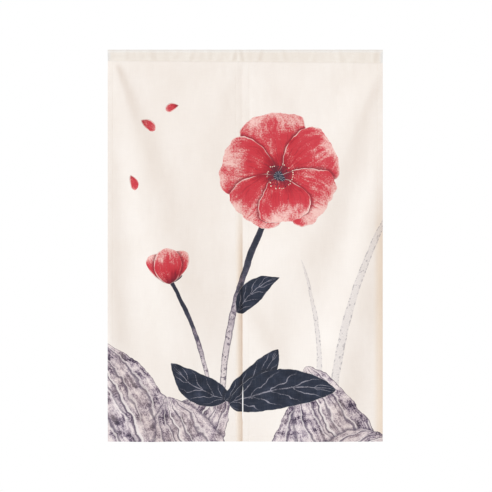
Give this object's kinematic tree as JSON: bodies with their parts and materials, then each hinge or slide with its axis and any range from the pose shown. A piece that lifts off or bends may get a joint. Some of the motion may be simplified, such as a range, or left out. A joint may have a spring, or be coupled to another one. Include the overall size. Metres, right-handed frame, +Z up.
{
  "type": "door curtain",
  "caption": "Half-length partition curtain of cloth panels side by side, sewn together at the top, parted below, and hung by a rod sleeve along the top edge.",
  "frame": {"origin": "middle of the top edge, on top of the rod sleeve", "axes": "+Z up, +X to the right as the front is seen, and the front of the cloth faces -Y"},
  "size_m": [0.8422, 0.0229, 1.2003],
  "materials": {
    "panel_cloth": "matte woven cotton and linen blend with a printed front",
    "sleeve_cloth": "matte woven cotton and linen blend, plain"
  },
  "bodies": {
    "root": {"rod_sleeve": "sleeve_cloth", "left_panel": "panel_cloth", "right_panel": "panel_cloth"}
  },
  "joints": []
}
